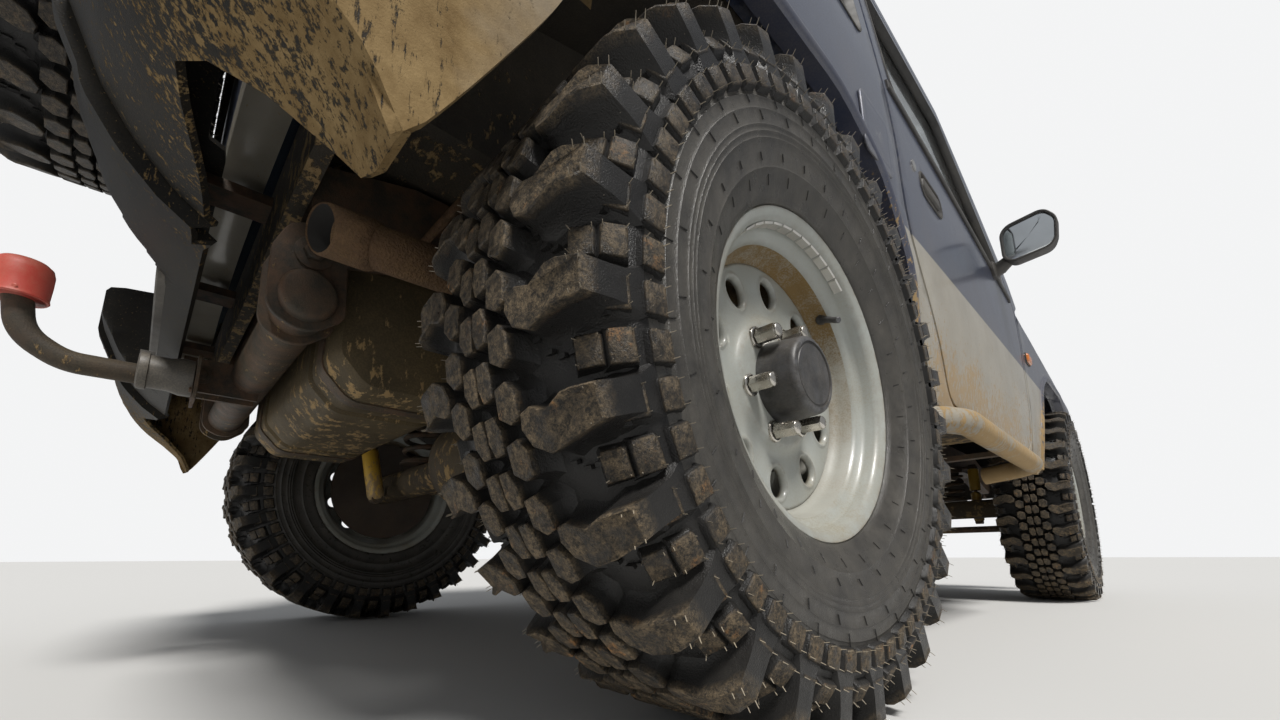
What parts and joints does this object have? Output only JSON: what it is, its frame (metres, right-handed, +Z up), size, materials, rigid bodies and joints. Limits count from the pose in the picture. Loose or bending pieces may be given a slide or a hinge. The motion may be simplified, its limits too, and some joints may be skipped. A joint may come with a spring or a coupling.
{
  "type": "three-door off-road car",
  "caption": "Three-door off-road 4x4 car with live axles, lugged mud tyres, side-hinged tailgate with spare wheel, roof basket, side steps and a tow ball.",
  "frame": {"origin": "middle of the overall box on the ground under the tyres", "axes": "+X to the car's left, -Y to its nose, +Z up"},
  "size_m": [2.06, 3.906, 1.912],
  "materials": {
    "body_paint": "gloss metallic",
    "chassis_black": "dull, chipped",
    "cast_parts": "dull, muddy",
    "shock_yellow": "satin",
    "rusty_steel": "rusty",
    "black_plastic": "textured",
    "cap_red": "worn",
    "glass": "clear",
    "lamp_lens": "clear lens",
    "interior_trim": "grained",
    "seat_cloth": "woven",
    "wheel_paint": "satin",
    "tyre": "matte",
    "rack_black": "satin"
  },
  "bodies": {
    "body": {"chassis_rails": "chassis_black", "coil_springs": "chassis_black", "cowl": "black_plastic", "crossmembers": "chassis_black", "dashboard": "interior_trim", "engine_block": "cast_parts", "exhaust": "rusty_steel", "fixed_glass": "glass", "floor": "body_paint", "front_axle": "cast_parts", "front_bumper": "black_plastic", "front_wings": "body_paint", "fuel_tank": "black_plastic", "grille": "black_plastic", "lamps": "lamp_lens", "propeller_shafts": "chassis_black", "rear_axle": "cast_parts", "rear_bumper": "black_plastic", "roof": "body_paint", "roof_rack": "rack_black", "seat_backs": "seat_cloth", "seat_cushions": "seat_cloth", "seat_frames": "chassis_black", "shock_absorbers": "shock_yellow", "side_panels": "body_paint", "side_steps": "body_paint", "tow_ball_cap": "cap_red", "tow_bar": "chassis_black", "trailer_socket": "black_plastic", "trailing_arms": "chassis_black"},
    "door_left": {"door_left": "body_paint", "door_glass_left": "glass", "mirror_left": "black_plastic"},
    "door_right": {"door_right": "body_paint", "door_glass_right": "glass", "mirror_right": "black_plastic"},
    "tailgate": {"tailgate": "body_paint", "tailgate_glass": "glass", "spare_carrier": "chassis_black", "spare_rim": "wheel_paint", "spare_tyre": "tyre"},
    "bonnet": {"bonnet": "body_paint"},
    "fuel_flap": {"fuel_flap": "body_paint"},
    "knuckle_left": {"knuckle_left": "cast_parts"},
    "knuckle_right": {"knuckle_right": "cast_parts"},
    "track_rod": {"track_rod": "chassis_black"},
    "steering_wheel": {"steering_wheel": "black_plastic"},
    "wheel_front_left": {"rim_front_left": "wheel_paint", "tyre_front_left": "tyre"},
    "wheel_front_right": {"rim_front_right": "wheel_paint", "tyre_front_right": "tyre"},
    "wheel_rear_left": {"rim_rear_left": "wheel_paint", "tyre_rear_left": "tyre"},
    "wheel_rear_right": {"rim_rear_right": "wheel_paint", "tyre_rear_right": "tyre"}
  },
  "joints": [
    {"name": "door_left_hinge", "type": "hinge", "parent": "body", "child": "door_left", "pos_m": [0.85, -0.477, 0.84], "axis": [0, 0, -1], "range_deg": [0, 65]},
    {"name": "door_right_hinge", "type": "hinge", "parent": "body", "child": "door_right", "pos_m": [-0.85, -0.477, 0.84], "axis": [0, 0, 1], "range_deg": [0, 65]},
    {"name": "tailgate_hinge", "type": "hinge", "parent": "body", "child": "tailgate", "pos_m": [-0.643, 1.677, 1], "axis": [0, 0, 1], "range_deg": [0, 95]},
    {"name": "bonnet_hinge", "type": "hinge", "parent": "body", "child": "bonnet", "pos_m": [0, -0.586, 1.096], "axis": [-1, 0, 0], "range_deg": [0, 55]},
    {"name": "fuel_flap_hinge", "type": "hinge", "parent": "body", "child": "fuel_flap", "pos_m": [-0.854, 0.732, 0.965], "axis": [0, 0, 1], "range_deg": [0, 110]},
    {"name": "steer_left", "type": "hinge", "parent": "body", "child": "knuckle_left", "pos_m": [0.66, -1.233, 0.4094], "axis": [0, 0, 1], "range_deg": [-28, 28]},
    {"name": "steer_right", "type": "hinge", "parent": "body", "child": "knuckle_right", "pos_m": [-0.66, -1.233, 0.4094], "axis": [0, 0, 1], "range_deg": [-28, 28]},
    {"name": "track_rod_pivot", "type": "hinge", "parent": "knuckle_left", "child": "track_rod", "pos_m": [0.62, -1.043, 0.3294], "axis": [0, 0, 1], "range_deg": [-29, 29]},
    {"name": "steering_wheel_turn", "type": "hinge", "parent": "body", "child": "steering_wheel", "pos_m": [0.38, -0.153, 1.09], "axis": [0, 0.9063, 0.4226], "range_deg": [-450, 450]},
    {"name": "wheel_front_left_spin", "type": "hinge", "parent": "knuckle_left", "child": "wheel_front_left", "pos_m": [0.76, -1.233, 0.4094], "axis": [1, 0, 0], "continuous": true},
    {"name": "wheel_front_right_spin", "type": "hinge", "parent": "knuckle_right", "child": "wheel_front_right", "pos_m": [-0.76, -1.233, 0.4094], "axis": [1, 0, 0], "continuous": true},
    {"name": "wheel_rear_left_spin", "type": "hinge", "parent": "body", "child": "wheel_rear_left", "pos_m": [0.76, 1.117, 0.4094], "axis": [1, 0, 0], "continuous": true},
    {"name": "wheel_rear_right_spin", "type": "hinge", "parent": "body", "child": "wheel_rear_right", "pos_m": [-0.76, 1.117, 0.4094], "axis": [1, 0, 0], "continuous": true}
  ],
  "couplings": [
    {"joint": "steer_right", "follows": "steer_left", "ratio": 1},
    {"joint": "track_rod_pivot", "follows": "steer_left", "ratio": -1},
    {"joint": "steering_wheel_turn", "follows": "steer_left", "ratio": 16}
  ]
}
